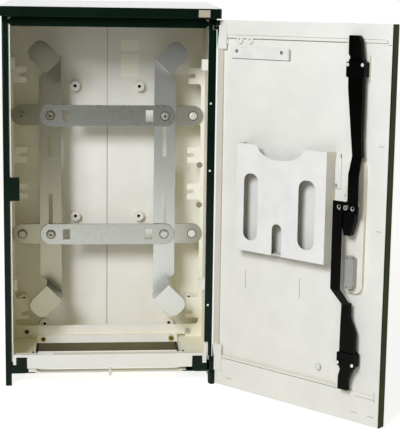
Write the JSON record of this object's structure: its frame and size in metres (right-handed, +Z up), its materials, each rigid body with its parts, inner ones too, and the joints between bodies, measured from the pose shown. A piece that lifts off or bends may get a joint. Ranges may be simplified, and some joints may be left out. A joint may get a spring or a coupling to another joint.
{
  "type": "roadside utility cabinet",
  "caption": "Small street cabinet with a low hipped roof, an inner strap frame and a swinging door with a rod lock, swing handle and document pocket.",
  "frame": {"origin": "centre of the four ground bolts, on the underside of the base rails", "axes": "+Z up, the door opening faces -Y, +X to the right seen from the opening, where the hinges are"},
  "size_m": [0.7182, 0.568, 0.775],
  "materials": {
    "green_coat": "satin powder coat",
    "cream_coat": "satin powder coat",
    "white_coat": "satin powder coat",
    "galvanised": "dull galvanised",
    "zinc_plate": "bright zinc plate",
    "brass": "turned",
    "lock_metal": "die cast zinc",
    "black_coat": "semi-matt",
    "black_plastic": "moulded",
    "white_plastic": "moulded",
    "cream_plastic": "moulded"
  },
  "bodies": {
    "cabinet": {"left_side_panel": "green_coat", "right_side_panel": "green_coat", "back_panel": "green_coat", "top_panel": "green_coat", "roof_hood": "green_coat", "left_base_rail": "green_coat", "right_base_rail": "green_coat", "left_floor_plate": "cream_coat", "right_floor_plate": "cream_coat", "left_side_liner": "cream_coat", "right_side_liner": "cream_coat", "left_comb": "cream_coat", "right_comb": "cream_coat", "left_back_liner": "cream_coat", "right_back_liner": "cream_coat", "clamp_rail": "cream_coat", "left_vertical_strap": "galvanised", "right_vertical_strap": "galvanised", "upper_crossbar": "galvanised", "lower_crossbar": "galvanised", "upper_links": "galvanised", "lower_links": "galvanised", "frame_bolts": "zinc_plate", "frame_nuts": "zinc_plate", "rail_bolt": "zinc_plate", "roof_posts": "green_coat", "back_bosses": "white_plastic", "hinge_pins": "zinc_plate", "upper_hinge_block": "green_coat", "lower_hinge_block": "green_coat", "front_tie": "white_coat", "sill": "white_coat", "sill_pin": "white_plastic", "liner_clips": "white_plastic", "rail_grommet": "brass", "rail_screw": "brass"},
    "door": {"door_skin": "green_coat", "door_liner": "cream_coat", "upper_door_hinge": "cream_coat", "lower_door_hinge": "cream_coat", "handle_dish": "cream_plastic", "lock_body": "lock_metal", "lock_plug": "lock_metal", "upper_guide": "black_plastic", "lower_guide": "black_plastic", "document_pocket": "white_plastic", "label_holder": "white_plastic", "hole_buttons": "white_plastic"},
    "lock": {"lock_spindle": "lock_metal", "handle_pivot": "zinc_plate", "lock_cam": "black_coat", "crank_pins": "zinc_plate"},
    "grip": {"handle_grip": "black_coat"},
    "upper_rod": {"upper_rod": "black_coat"},
    "lower_rod": {"lower_rod": "black_coat"}
  },
  "joints": [
    {"name": "door_hinge", "type": "hinge", "parent": "cabinet", "child": "door", "pos_m": [0.2105, -0.127, 0.35], "axis": [0, 0, 1], "range_deg": [-132.45, 0]},
    {"name": "handle_turn", "type": "hinge", "parent": "door", "child": "lock", "pos_m": [0.44308, -0.37978, 0.386], "axis": [-0.7379, -0.6749, 0], "range_deg": [0, 90]},
    {"name": "handle_lift", "type": "hinge", "parent": "lock", "child": "grip", "pos_m": [0.46031, -0.35861, 0.386], "axis": [0, 0, -1], "range_deg": [0, 35]},
    {"name": "upper_rod_slide", "type": "slide", "parent": "door", "child": "upper_rod", "axis": [0, 0, 1], "range_m": [0, 0.016]},
    {"name": "lower_rod_slide", "type": "slide", "parent": "door", "child": "lower_rod", "axis": [0, 0, -1], "range_m": [0, 0.016]}
  ],
  "couplings": [
    {"joint": "upper_rod_slide", "follows": "handle_turn", "m_per_rad": 0.010186},
    {"joint": "lower_rod_slide", "follows": "handle_turn", "m_per_rad": 0.010186}
  ]
}
